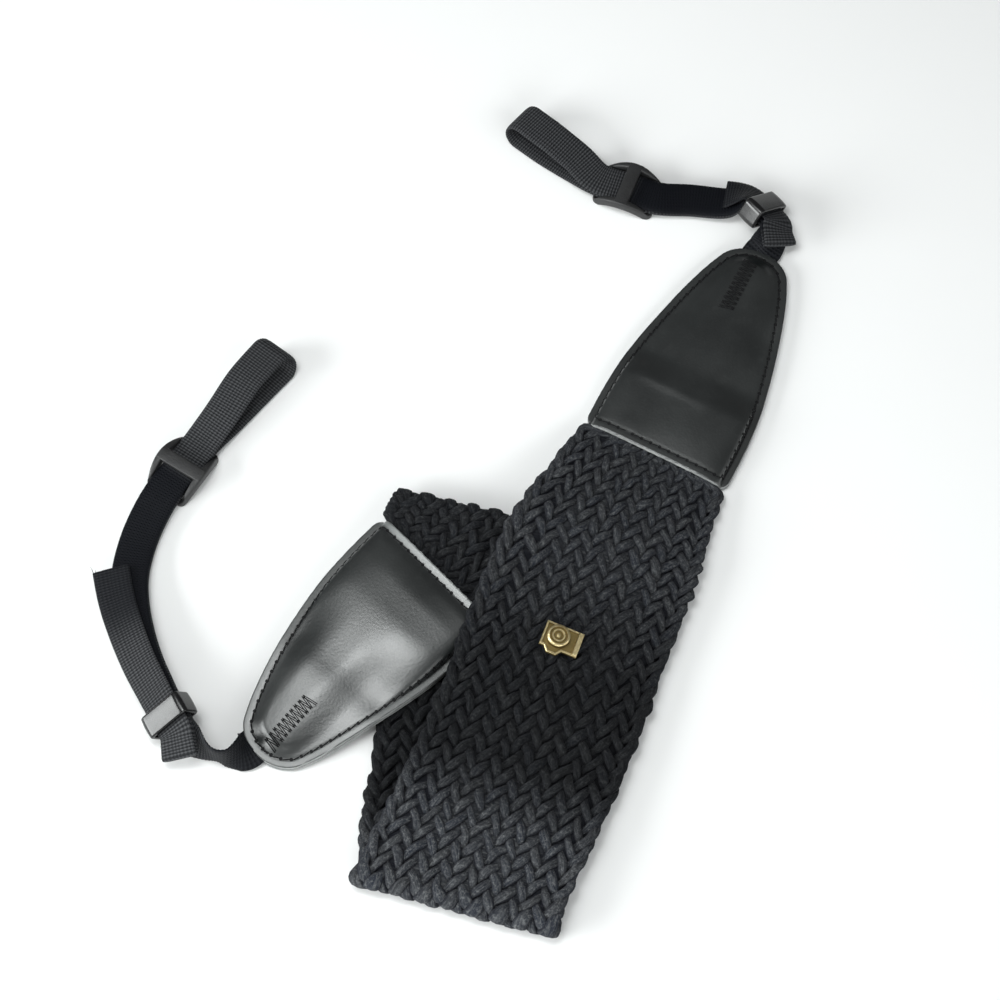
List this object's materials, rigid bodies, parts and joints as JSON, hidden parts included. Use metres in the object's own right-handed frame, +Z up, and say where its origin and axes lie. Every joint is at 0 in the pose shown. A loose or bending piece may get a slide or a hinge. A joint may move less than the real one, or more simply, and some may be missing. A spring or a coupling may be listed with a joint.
{
  "type": "camera neck strap",
  "caption": "Wide braided neck strap lying folded on a table, with sewn leather end tabs, narrow webbing with sliders, keepers and loops, and a small cast brass badge.",
  "frame": {"origin": "middle of the footprint, on the table", "axes": "+Z up from the table, +Y away from the picture's viewer along the longest side, +X to the right"},
  "size_m": [0.2284, 0.2916, 0.0174],
  "materials": {
    "cotton": "thick flat braid of soft black cotton cord, matt",
    "leather": "smooth black leather with a soft sheen, grey cut edges",
    "nylon": "ribbed charcoal nylon webbing",
    "moulded": "matt charcoal moulded plastic",
    "glossy": "smooth glossy black plastic",
    "brass": "cast brass darkened in its recesses"
  },
  "bodies": {
    "root": {"braid_band": "cotton", "brass_stud": "brass", "left_tab_top": "leather", "left_tab_base": "leather", "left_webbing": "nylon", "left_keeper": "glossy", "left_tri_glide": "moulded", "right_tab_top": "leather", "right_tab_base": "leather", "right_webbing": "nylon", "right_keeper": "glossy", "right_tri_glide": "moulded"}
  },
  "joints": []
}
